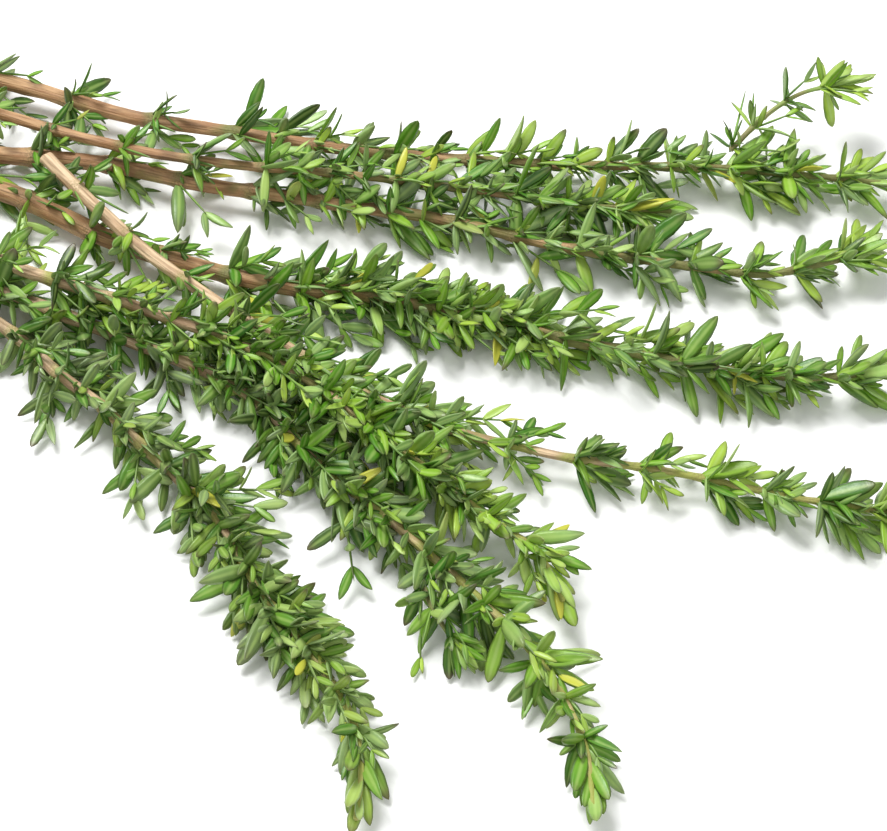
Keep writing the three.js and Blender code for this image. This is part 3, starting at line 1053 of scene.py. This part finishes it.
class FoliageTree:
    """A Geometry Nodes tree that stands a leaf on every point of a cloud.

    Each point says its leaf's heading, size and shape. The tree adds a small random roll and size.
    """

    INPUTS = (
        ("Points", "Geometry", None),
        ("Leaf shapes", "Collection", None),
        ("Leaf size", "Float", 1.0),
        ("Size varies", "Float", 0.06),
        ("Roll varies", "Float", math.radians(24)),
        ("Seed", "Int", FIRST_SEED),
        ("Finish", "Material", None),
    )

    def __init__(self) -> None:
        """Build the tree."""
        self.tree = bpy.data.node_groups.new("foliage", "GeometryNodeTree")
        self.wiring = Wiring(self.tree)
        self.inputs = {name: self.wiring.socket(name, kind, value) for name, kind, value in self.INPUTS}
        self.wiring.socket("Leaves", "Geometry", side="OUTPUT")
        self._wire()

    @staticmethod
    def _shown(sockets: bpy.types.bpy_prop_collection, *names: str) -> list[Socket]:
        """List the sockets of these names that the node shows for its data type."""
        return [socket for socket in sockets if socket.enabled and socket.name in names]

    def _read(self, name: str, kind: str) -> Socket:
        """Read one of the points' attributes, of this data type."""
        node = self.wiring.node("GeometryNodeInputNamedAttribute", {"Name": name}, data_type=kind)
        return self._shown(node.outputs, "Attribute")[0]

    def _random(self, given: bpy.types.Node, span: str) -> Socket:
        """Draw a random number on each point, between minus and plus one of the tree's inputs.

        Args:
            given: the tree's input node.
            span: name of the input.

        Returns:
            The socket that gives the number.
        """
        highest, seed = given.outputs[span], given.outputs["Seed"]
        draw = self.wiring.node("FunctionNodeRandomValue", {"Seed": seed}, data_type="FLOAT")
        low, high = self._shown(draw.inputs, "Min", "Max")
        self.wiring.join(self.wiring.times(highest, -1.0), low)
        self.wiring.join(highest, high)
        return self._shown(draw.outputs, "Value")[0]

    def _wire(self) -> None:
        """Join the tree's nodes."""
        node = self.wiring.node
        given, made = node("NodeGroupInput"), node("NodeGroupOutput")
        shapes = node("GeometryNodeCollectionInfo", {
            "Collection": given.outputs["Leaf shapes"], "Separate Children": True, "Reset Children": True,
        })
        roll = node("FunctionNodeAxisAngleToRotation", {
            "Axis": (0, 1, 0), "Angle": self._random(given, "Roll varies"),
        })
        turned = node("FunctionNodeRotateRotation", {
            "Rotation": self._read("heading", "QUATERNION"), "Rotate By": roll.outputs["Rotation"],
        }, rotation_space="LOCAL")
        grown = self.wiring.plus(given.outputs["Leaf size"], self._random(given, "Size varies"))
        own_size = self._read("size", "FLOAT_VECTOR")
        size = node("ShaderNodeVectorMath", {0: own_size, "Scale": grown}, operation="SCALE")
        stand = node("GeometryNodeInstanceOnPoints", {
            "Points": given.outputs["Points"],
            "Instance": shapes.outputs["Instances"],
            "Pick Instance": True,
            "Instance Index": self._read("shape", "INT"),
            "Rotation": turned.outputs["Rotation"],
            "Scale": size.outputs["Vector"],
        })
        real = node("GeometryNodeRealizeInstances", {"Geometry": stand.outputs["Instances"]})
        finish = {"Geometry": real.outputs["Geometry"], "Material": given.outputs["Finish"]}
        self.wiring.join(node("GeometryNodeSetMaterial", finish).outputs["Geometry"], made.inputs[0])

    def grow(
        self, name: str, leaves: list[Leaf], templates: LeafTemplates, finish: bpy.types.Material, seed: int
    ) -> bpy.types.Object:
        """Stand the leaves on their points, and make one plain mesh of them.

        Args:
            name: of the piece.
            leaves: to grow.
            templates: their forms.
            finish: their material.
            seed: of the tree's random draws.

        Returns:
            The piece.
        """
        cloud = bpy.data.meshes.new(f"{name}_points")
        cloud.from_pydata([leaf.base.tolist() for leaf in leaves], [], [])
        store(cloud, "heading", "QUATERNION", [leaf.rotation() for leaf in leaves])
        store(cloud, "size", "FLOAT_VECTOR", [leaf.size() for leaf in leaves])
        store(cloud, "shape", "INT", [leaf.shape.value for leaf in leaves])
        for label in ("tone", "age", "wear"):
            store(cloud, label, "FLOAT", [getattr(leaf, label) for leaf in leaves])
        carrier = in_scene(cloud.name, cloud)
        modifier = carrier.modifiers.new("foliage", "NODES")
        modifier.node_group = self.tree
        modifier[self.inputs["Leaf shapes"]] = templates.collection
        modifier[self.inputs["Finish"]] = finish
        modifier[self.inputs["Seed"]] = seed
        graph = bpy.context.evaluated_depsgraph_get()
        mesh = bpy.data.meshes.new_from_object(
            carrier.evaluated_get(graph), preserve_all_data_layers=True, depsgraph=graph
        )
        carrier.modifiers.remove(modifier)
        bpy.data.objects.remove(carrier)
        bpy.data.meshes.remove(cloud)
        mesh.name = name
        for spent in ("heading", "size", "shape"):
            if spent in mesh.attributes:
                mesh.attributes.remove(mesh.attributes[spent])
        return in_scene(name, mesh)


def rest_on_surface(piece: bpy.types.Object, least: float = 0.05 * MM) -> None:
    """Press what reaches below the surface flat on it.

    Args:
        piece: the piece, at the origin.
        least: height that its lowest points are brought up to.
    """
    mesh = piece.data
    places = np.empty(len(mesh.vertices) * 3, np.float32)
    mesh.vertices.foreach_get("co", places)
    heights = places.reshape(-1, 3)[:, 2]
    np.maximum(heights, least, out=heights)
    mesh.vertices.foreach_set("co", places)
    mesh.update()


# ---- Stems ----


@dataclass
class StemWood:
    """The wood of one stem: a ridged tube that swells at every whorl, with a sheared cut end.

    Attributes:
        sprig: that it belongs to.
        sides: points around the stem.
        step: distance between rings.
        swell: how much thicker the stem is at a whorl, over its radius.
        swell_reach: how far that goes up and down the stem.
        knot_reach: how far a whorl colours the bark up and down the stem.
        ridges: depth of the lengthwise ridges, over the radius.
        ridge_step: length of stem over which the ridges change.
        waves: kinds of ridge, from one around the stem to this many.
        squareness: how four-sided the young end is, over its radius.
        slant: slope of the cut.
        slant_reach: length of stem over which the slope fades.
    """

    sprig: Sprig
    sides: int = 20
    step: float = 0.7 * MM
    swell: float = 0.26
    swell_reach: float = 1.0 * MM
    knot_reach: float = 1.6 * MM
    ridges: float = 0.085
    ridge_step: float = 4 * MM
    waves: int = 7
    squareness: float = 0.06
    slant: float = 0.35
    slant_reach: float = 3 * MM

    CUT_RINGS = ((0.35, 0.08), (0.7, 0.03), (0.93, 0.0))  # radius and depth of each, over the stem's radius
    WANDER = 0.12  # most that a ridge turns around the stem in one step
    BROAD_RIDGE, FINE_RIDGE, BROAD_WAVES = 0.6, 1.2, 2  # strengths, and how many of the waves are broad
    YOUNG_SMOOTHER = 0.4  # share of the ridges that the young end has lost
    ROUND_KNOT, FLAT_KNOT = 0.75, 0.25  # a swelling's parts that go all round, and to the two sides

    def radii(self, distance: np.ndarray, around: np.ndarray, radius: np.ndarray) -> np.ndarray:
        """Find how thick the stem is all round.

        Args:
            distance: of each ring from the cut end.
            around: angle of each point on a ring.
            radius: the stem's plain radius at each ring.

        Returns:
            The radius of every point, ring by ring.
        """
        young = (distance / self.sprig.length)[:, None]
        shape = 1 + self.squareness * young * np.cos(4 * (around - self.sprig.whorl_turn(0)))[None, :]
        generator = np.random.default_rng(100 + self.sprig.habit.key)
        marks = np.arange(0, self.sprig.length + 2 * self.ridge_step, self.ridge_step)
        for wave in range(1, self.waves + 1):
            strength = np.interp(distance, marks, generator.uniform(-1, 1, len(marks)))
            start = generator.uniform(0, 2 * np.pi)
            turns = np.cumsum(generator.uniform(-self.WANDER, self.WANDER, len(marks)))
            phase = start + np.interp(distance, marks, turns)
            kind = self.FINE_RIDGE if wave > self.BROAD_WAVES else self.BROAD_RIDGE
            depth = self.ridges * kind * (1 - self.YOUNG_SMOOTHER * young)
            shape = shape + depth * strength[:, None] * np.cos(wave * around[None, :] + phase[:, None]) / 2
        for whorl in self.sprig.whorl_distances():
            bump = np.exp(-(((distance - whorl) / self.swell_reach) ** 2))[:, None]
            flat = self.FLAT_KNOT * np.cos(2 * around)[None, :]
            shape = shape + self.swell * bump * (self.ROUND_KNOT + flat)
        return radius[:, None] * shape

    def mesh(self) -> bpy.types.Mesh:
        """Build the stem's closed mesh, with what its finish follows stored on its points.

        Returns:
            The mesh, with the attributes grain, old and knot.
        """
        sprig, count = self.sprig, self.sides
        distance = np.linspace(0, sprig.length, int(sprig.length / self.step))
        points, across, along, up, radius = sprig.line.frames(distance)
        around = np.linspace(0, 2 * np.pi, count, endpoint=False)
        out = across[:, None] * np.cos(around)[None, :, None] + up[:, None] * np.sin(around)[None, :, None]
        thick = self.radii(distance, around, radius)
        fade = np.clip(1 - distance / self.slant_reach, 0, 1)[:, None]
        slope = self.slant * swing(sprig.habit.key, 40) * np.cos(around + sprig.habit.key)[None, :] * fade
        places = points[:, None] + out * thick[..., None] + along[:, None] * (slope * thick)[..., None]
        first, last = places[0], places[-1]
        cut = [
            first * share + first.mean(0) * (1 - share) + along[0] * radius[0] * sink
            for share, sink in self.CUT_RINGS
        ]
        tip = (last + last.mean(0) + along[-1] * radius[-1]) / 2
        stack = np.vstack([*cut, places.reshape(-1, 3), tip])
        faces = closed_tube(len(stack) // count, count)
        mesh = bpy.data.meshes.new(f"{sprig.name}_wood")
        mesh.from_pydata(stack.tolist(), [], faces)
        mesh.polygons.foreach_set("use_smooth", [True] * (len(faces) - 2) + [False] * 2)
        kinds = np.zeros(len(faces), np.int32)
        kinds[: len(cut) * count] = 1
        kinds[-2] = 1
        mesh.polygons.foreach_set("material_index", kinds)
        far = np.repeat([0.0] * len(cut) + [*distance, distance[-1]], count)
        size = np.repeat([radius[0] * share for share, _ in self.CUT_RINGS] + [*radius, radius[-1]], count)
        turn = np.tile(around, len(stack) // count)
        grain = np.column_stack([np.cos(turn) * size, np.sin(turn) * size, far])
        store(mesh, "grain", "FLOAT_VECTOR", grain)
        store(mesh, "old", "FLOAT", 1 - far / sprig.length)
        near = np.min(np.abs(far[:, None] - np.array(sprig.whorl_distances())[None, :]), axis=1)
        store(mesh, "knot", "FLOAT", np.exp(-((near / self.knot_reach) ** 2)))
        return mesh


# ---- Finishes ----


class Surface(Wiring):
    """A material, and the nodes that drive its shader."""

    def __init__(self, name: str) -> None:
        """Start the material.

        Args:
            name: of the material.
        """
        self.material = bpy.data.materials.new(name)
        self.material.use_nodes = True
        super().__init__(self.material.node_tree)
        self.shader = self.tree.nodes["Principled BSDF"]

    def finish(self, colour: Socket, roughness: Feed) -> bpy.types.Material:
        """Feed the shader.

        Args:
            colour: of the surface.
            roughness: of the surface.

        Returns:
            The material.
        """
        self.join(colour, self.shader.inputs["Base Color"])
        self.join(roughness, self.shader.inputs["Roughness"])
        return self.material

    def relief(self, height: Socket, strength: float, depth: float) -> None:
        """Raise the surface by a height, with this strength and depth."""
        bump = self.node("ShaderNodeBump", {"Strength": strength, "Distance": depth, "Height": height})
        self.join(bump.outputs[0], self.shader.inputs["Normal"])


class SharedEffects:
    """Shader node groups that more than one finish uses."""

    def __init__(self) -> None:
        """Build the mottle: soft blotches and a fine grain, for uneven colour, gloss and relief."""
        self.mottle = bpy.data.node_groups.new("mottle", "ShaderNodeTree")
        wiring = Wiring(self.mottle)
        given, made = wiring.node("NodeGroupInput"), wiring.node("NodeGroupOutput")
        where = wiring.node("ShaderNodeTexCoord").outputs["Object"]
        for name, scale in (("Blotch", 300.0), ("Grain", 3000.0)):
            wiring.socket(f"{name} scale", "Float", scale)
            wiring.socket(name, "Float", side="OUTPUT")
        for name in ("Blotch", "Grain"):
            wiring.join(wiring.noise(where, given.outputs[f"{name} scale"], 2.0), made.inputs[name])

    def place(self, surface: Surface, blotch: float, grain: float) -> tuple[Socket, Socket]:
        """Put the mottle in a material.

        Args:
            surface: the material.
            blotch: scale of the blotches, for each metre.
            grain: scale of the grain, for each metre.

        Returns:
            The sockets that give the blotches and the grain, both around 0.5.
        """
        scales = {"Blotch scale": blotch, "Grain scale": grain}
        group = surface.node("ShaderNodeGroup", scales, node_tree=self.mottle)
        return group.outputs["Blotch"], group.outputs["Grain"]


@dataclass(frozen=True)
class LeafFinish:
    """The surface of fresh leaves.

    Attributes:
        stops: colours from the darkest leaf to the brightest.
        olive: colour that a grey olive leaf goes to.
        sage: colour of the paler leaves, and of the painted highlight on pale margins.
        rib_and_highlight: the pale line over the midrib, widened into a painted highlight band on the
            blade's curved top.
        underside: paler.
        browned: old margins and tips.
        yellowed: leaves that are past their best.
        vivid: colour of the freshest leaves.
        olive_amount: how far leaves go to the olive.
        relief: height of the fine relief.
    """

    stops: tuple[tuple[float, Colour], ...] = (
        (0.0, (0.008, 0.033, 0.001)),
        (0.25, (0.032, 0.1, 0.003)),
        (0.5, (0.082, 0.215, 0.007)),
        (0.75, (0.19, 0.39, 0.018)),
        (1.0, (0.38, 0.56, 0.055)),
    )
    olive: Colour = (0.17, 0.2, 0.075)
    sage: Colour = (0.34, 0.47, 0.21)
    rib_and_highlight: Colour = (0.42, 0.58, 0.17)
    underside: Colour = (0.3, 0.4, 0.15)
    browned: Colour = (0.1, 0.065, 0.04)
    yellowed: Colour = (0.52, 0.5, 0.04)
    vivid: Colour = (0.05, 0.25, 0.004)
    olive_amount: float = 0.1
    relief: float = 0.06 * MM

    def material(self, name: str, effects: SharedEffects) -> bpy.types.Material:
        """Make the material.

        Args:
            name: of the material.
            effects: the shared node groups.

        Returns:
            The material.
        """
        leaf = Surface(name)
        tone, age, wear = (leaf.attribute(label) for label in ("tone", "age", "wear"))
        along, sideways, below = (leaf.attribute(label) for label in ("along", "sideways", "below"))
        blotch, grain = effects.place(leaf, 260.0, 2600.0)

        # The body of the leaf: brighter when young, near the base and in blotches.
        uneven = leaf.scaled(blotch, 0.6, -0.3)
        bright = leaf.plus(leaf.scaled(age, -0.16, 0.06), leaf.plus(tone, uneven))
        fresh = leaf.scaled(along, -0.16, 0.08)
        colour = leaf.ramp(leaf.math("ADD", bright, fresh, clamp=True), self.stops)
        greyed = leaf.math("MULTIPLY_ADD", uneven, 0.6, self.olive_amount, clamp=True)
        colour = leaf.mix(greyed, colour, self.olive)
        lively = leaf.times(leaf.span(wear, 0.12, 0.2), leaf.span(wear, 0.52, 0.44))
        colour = leaf.lay(colour, lively, 0.42, self.vivid)
        colour = leaf.lay(colour, leaf.span(wear, 0.5, 0.95), 0.46, self.sage)

        # The midrib with its painted highlight band, the underside, and margins that are dark or pale, the
        # pale ones a painted highlight.
        aside = leaf.math("ABSOLUTE", sideways)
        # Painted highlight: the real pale midrib line is widened into a band over the middle of the blade,
        # standing in for light on its curved top.
        rib_and_highlight = leaf.math("SUBTRACT", 1.0, leaf.span(aside, 0.04, 0.4))
        colour = leaf.lay(colour, rib_and_highlight, 0.42, self.rib_and_highlight)
        colour = leaf.lay(colour, below, 0.35, self.underside)
        # Painted highlight: on some leaves the margins are laid pale, standing in for light on the leaf's
        # edge; on the other leaves they are laid dark.
        margin_dark_or_highlight = leaf.mix(leaf.span(wear, 0.4, 0.7), self.stops[0][1], self.sage)
        colour = leaf.lay(colour, leaf.span(aside, 0.62, 1.0), 0.5, margin_dark_or_highlight)

        # Browned tips, and the few leaves that have yellowed.
        aged = leaf.math("SUBTRACT", 1.0, leaf.span(wear, 0.0, 0.3))
        worn = leaf.times(leaf.span(along, 0.72, 1.0), leaf.scaled(aged, 0.45, 0.4))
        colour = leaf.mix(worn, colour, self.browned)
        colour = leaf.lay(colour, leaf.span(wear, 0.982, 0.99), 0.8, self.yellowed)

        leaf.shader.inputs["Specular IOR Level"].default_value = 0.4
        leaf.relief(grain, 0.5, self.relief)
        return leaf.finish(colour, leaf.scaled(grain, 0.3, 0.2))


@dataclass(frozen=True)
class BarkFinish:
    """The surface of a stem.

    Attributes:
        wood: bark colour where the stem is old.
        furrow: dark lines that run down the stem.
        fibre: pale lines that run down the stem.
        stain: dark patches.
        young: colour of the stem near its tip, and of green patches lower down.
        knot: colour around a whorl.
        relief: height of the lines.
    """

    wood: Colour
    furrow: Colour
    fibre: Colour
    stain: Colour
    young: Colour
    knot: Colour
    relief: float = 0.45 * MM

    def material(self, name: str, effects: SharedEffects) -> bpy.types.Material:
        """Make the material.

        Args:
            name: of the material.
            effects: the shared node groups.

        Returns:
            The material.
        """
        bark = Surface(name)
        grain, old, knot = bark.attribute("grain", "Vector"), bark.attribute("old"), bark.attribute("knot")
        lines = bark.noise(grain, 2600.0, 3.0, 0.045)
        broad = bark.noise(grain, 1000.0, 2.0, 0.1)
        stains = bark.noise(grain, 330.0, 3.0, 0.35)
        blotch, speck = effects.place(bark, 150.0, 3200.0)
        colour = bark.mix(bark.span(broad, 0.4, 0.62), self.wood, self.fibre)
        colour = bark.lay(colour, bark.span(stains, 0.52, 0.68), 0.6, self.stain)
        colour = bark.lay(colour, bark.span(lines, 0.5, 0.68), 0.55, self.furrow)
        patches = bark.scaled(blotch, 1.5, -0.75)
        green = bark.plus(bark.plus(bark.math("SUBTRACT", 1.0, old), patches), bark.times(knot, 0.22))
        colour = bark.mix(bark.span(green, 0.4, 0.95), colour, self.young)
        colour = bark.mix(bark.times(knot, bark.span(speck, 0.3, 0.8)), colour, self.knot)
        bark.relief(bark.plus(bark.times(lines, -0.8), bark.times(speck, 0.25)), 0.8, self.relief)
        return bark.finish(colour, bark.scaled(speck, 0.25, 0.5))


@dataclass(frozen=True)
class CutFinish:
    """The sheared end of a stem: pale wood around a soft pith.

    Attributes:
        wood: colour of the wood.
        pith: colour of the middle.
        rim: colour where the bark starts.
        relief: height of the torn fibres.
    """

    wood: Colour = (0.52, 0.4, 0.2)
    pith: Colour = (0.66, 0.6, 0.38)
    rim: Colour = (0.16, 0.14, 0.04)
    relief: float = 0.1 * MM

    def material(self, name: str, effects: SharedEffects) -> bpy.types.Material:
        """Make the material.

        Args:
            name: of the material.
            effects: the shared node groups.

        Returns:
            The material.
        """
        cut = Surface(name)
        blotch, grain = effects.place(cut, 500.0, 5200.0)
        colour = cut.mix(cut.span(blotch, 0.35, 0.7), self.wood, self.pith)
        colour = cut.lay(colour, cut.span(grain, 0.5, 0.72), 0.4, self.rim)
        cut.relief(grain, 0.6, self.relief)
        return cut.finish(colour, cut.scaled(grain, 0.2, 0.6))


BARKS: dict[Bark, BarkFinish] = {
    Bark.BROWN: BarkFinish(
        wood=(0.34, 0.175, 0.075),
        furrow=(0.12, 0.055, 0.024),
        fibre=(0.5, 0.3, 0.145),
        stain=(0.15, 0.08, 0.032),
        young=(0.19, 0.2, 0.05),
        knot=(0.12, 0.09, 0.03),
    ),
    Bark.TAN: BarkFinish(
        wood=(0.46, 0.3, 0.17),
        furrow=(0.2, 0.11, 0.055),
        fibre=(0.68, 0.5, 0.31),
        stain=(0.27, 0.16, 0.085),
        young=(0.33, 0.35, 0.07),
        knot=(0.22, 0.17, 0.06),
    ),
    Bark.GREEN: BarkFinish(
        wood=(0.26, 0.24, 0.09),
        furrow=(0.15, 0.11, 0.04),
        fibre=(0.34, 0.32, 0.14),
        stain=(0.2, 0.16, 0.06),
        young=(0.22, 0.34, 0.07),
        knot=(0.24, 0.3, 0.07),
    ),
}


# ---- The bundle and its setting ----


@dataclass
class Bundle:
    """The whole bundle.

    Attributes:
        effects: shared node groups.
        sprigs: the sprigs, back to front, and their side shoots.
    """

    effects: SharedEffects = field(default_factory=SharedEffects)
    sprigs: list[Sprig] = field(default_factory=lambda: [Sprig(*row) for row in HABITS.items()])

    def build(self) -> None:
        """Build every piece, and say which frame nodes it stands for."""
        barks = {kind: bark.material(f"bark_{kind.value}", self.effects) for kind, bark in BARKS.items()}
        cut = CutFinish().material("cut_wood", self.effects)
        finishes = {
            olive: LeafFinish(olive_amount=olive).material(f"leaf_olive_{round(olive * 100)}", self.effects)
            for olive in sorted({sprig.habit.olive for sprig in self.sprigs})
        }
        templates, tree = LeafTemplates(), FoliageTree()
        for sprig in self.sprigs:
            habit, leaves = sprig.habit, list(sprig.leaves())
            mesh = StemWood(sprig).mesh()
            mesh.materials.append(barks[habit.bark])
            mesh.materials.append(cut)
            self.settle(in_scene(mesh.name, mesh), habit.slots[0], [f"{sprig.name}_stem"])
            piece, seed = f"{sprig.name}_foliage", FIRST_SEED + habit.key
            foliage = tree.grow(piece, leaves, templates, finishes[habit.olive], seed)
            nodes = sorted(name for name in frame["nodes"] if name.startswith(f"{sprig.name}_leaves"))
            self.settle(foliage, habit.slots[1], nodes)
            LOG.info("%s: %d whorls, %d leaves", sprig.name, len(sprig.whorl_distances()), len(leaves))
        templates.remove()

    @staticmethod
    def settle(piece: bpy.types.Object, slot: str, nodes: list[str]) -> None:
        """Finish a piece: it lies on the surface, rides on the bundle and stands for its frame nodes.

        Args:
            piece: the piece.
            slot: the record's material slot of its finish; not used.
            nodes: the frame nodes that it replaces.
        """
        rest_on_surface(piece)
        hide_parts(*nodes)
        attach(piece, BODY)
        LOG.info("%s: %d faces for %s", piece.name, len(piece.data.polygons), ", ".join(nodes))


@dataclass(frozen=True)
class Light:
    """A soft square light.

    Attributes:
        name: of the light.
        offset: where it hangs, from the point that it shines at.
        size: of its side.
        power: in watts.
    """

    name: str
    offset: tuple[float, float, float]
    size: float
    power: float

    def hang(self, centre: np.ndarray) -> None:
        """Make the light.

        Args:
            centre: the point that it shines at.
        """
        data = bpy.data.lights.new(self.name, "AREA")
        data.shape, data.size, data.energy = "SQUARE", self.size, self.power
        light = in_scene(self.name, data)
        light.location = centre + np.array(self.offset)
        x, y, z = self.offset
        light.rotation_euler = (math.acos(z / np.linalg.norm(self.offset)), 0, math.atan2(x, -y))


@dataclass(frozen=True)
class Studio:
    """The plain white setting: floor, soft lights and camera.

    Attributes:
        aim: the point looked at, from the cut end of sprig 5.
        elevation: of the camera above the floor.
        distance: of the camera from the point looked at.
        lens: focal length, in millimetres.
        clip: nearest and farthest that the camera sees.
        floor: distance of the floor's edges from its middle.
        surround: strength of the white surround.
        lights: the lights.
    """

    aim: tuple[float, float, float] = (74 * MM, -52.5 * MM, -10.8 * MM)
    elevation: float = math.radians(52)
    distance: float = 0.56
    lens: float = 127.3
    clip: tuple[float, float] = (0.02, 20.0)
    floor: float = 4.0
    surround: float = 0.5
    lights: tuple[Light, ...] = (
        Light("key_light", (-0.3, 0.4, 0.95), 0.5, 14.2),
        Light("fill_light", (0.5, -0.7, 0.8), 0.9, 3.0),
    )

    def build(self, anchor: np.ndarray) -> None:
        """Set the stage around the bundle, from the cut end of sprig 5.

        Args:
            anchor: that cut end.
        """
        centre = anchor + np.array(self.aim)
        self._floor()
        self._surround()
        for light in self.lights:
            light.hang(centre)
        self._camera(centre)

    def _camera(self, centre: np.ndarray) -> None:
        """Make the camera.

        Args:
            centre: the point that it looks at.
        """
        data = bpy.data.cameras.new("camera")
        data.lens = self.lens
        data.clip_start, data.clip_end = self.clip
        camera = in_scene("camera", data)
        back = np.array([0, -math.cos(self.elevation), math.sin(self.elevation)])
        camera.location = centre + back * self.distance
        camera.rotation_euler = (math.pi / 2 - self.elevation, 0, 0)
        bpy.context.scene.camera = camera

    def _floor(self) -> None:
        """Make the pale floor."""
        mesh, far = bpy.data.meshes.new("floor"), self.floor
        corners = [(-far, -far, 0), (far, -far, 0), (far, far, 0), (-far, far, 0)]
        mesh.from_pydata(corners, [], [(0, 1, 2, 3)])
        paper = Surface("paper_white")
        where = paper.node("ShaderNodeTexCoord").outputs["Object"]
        tint = paper.mix(paper.noise(where, 3.0, 2.0), (0.93, 0.93, 0.93), (0.96, 0.96, 0.96))
        mesh.materials.append(paper.finish(tint, 0.9))
        in_scene("floor", mesh)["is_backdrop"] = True

    def _surround(self) -> None:
        """Set the white surround."""
        scene, world = bpy.context.scene, bpy.data.worlds.new("surround")
        scene.view_settings.view_transform = "Standard"
        world.use_nodes = True
        background = world.node_tree.nodes["Background"]
        background.inputs["Color"].default_value = (1.0, 1.0, 1.0, 1.0)
        background.inputs["Strength"].default_value = self.surround
        scene.world = world


def main() -> None:
    """Build the bundle and its setting."""
    logging.basicConfig(level=logging.INFO, format="%(name)s: %(message)s")
    bundle = Bundle()
    crossing = next(sprig for sprig in bundle.sprigs if sprig.name == "sprig_5")
    Studio().build(crossing.line.points[0])
    bundle.build()
    bpy.context.view_layer.update()
    boxes = {"cad": CAD_BOX, "visual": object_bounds()}
    {name: [list(corner) for corner in box] for name, box in boxes.items()}


if __name__ == "__main__":
    main()
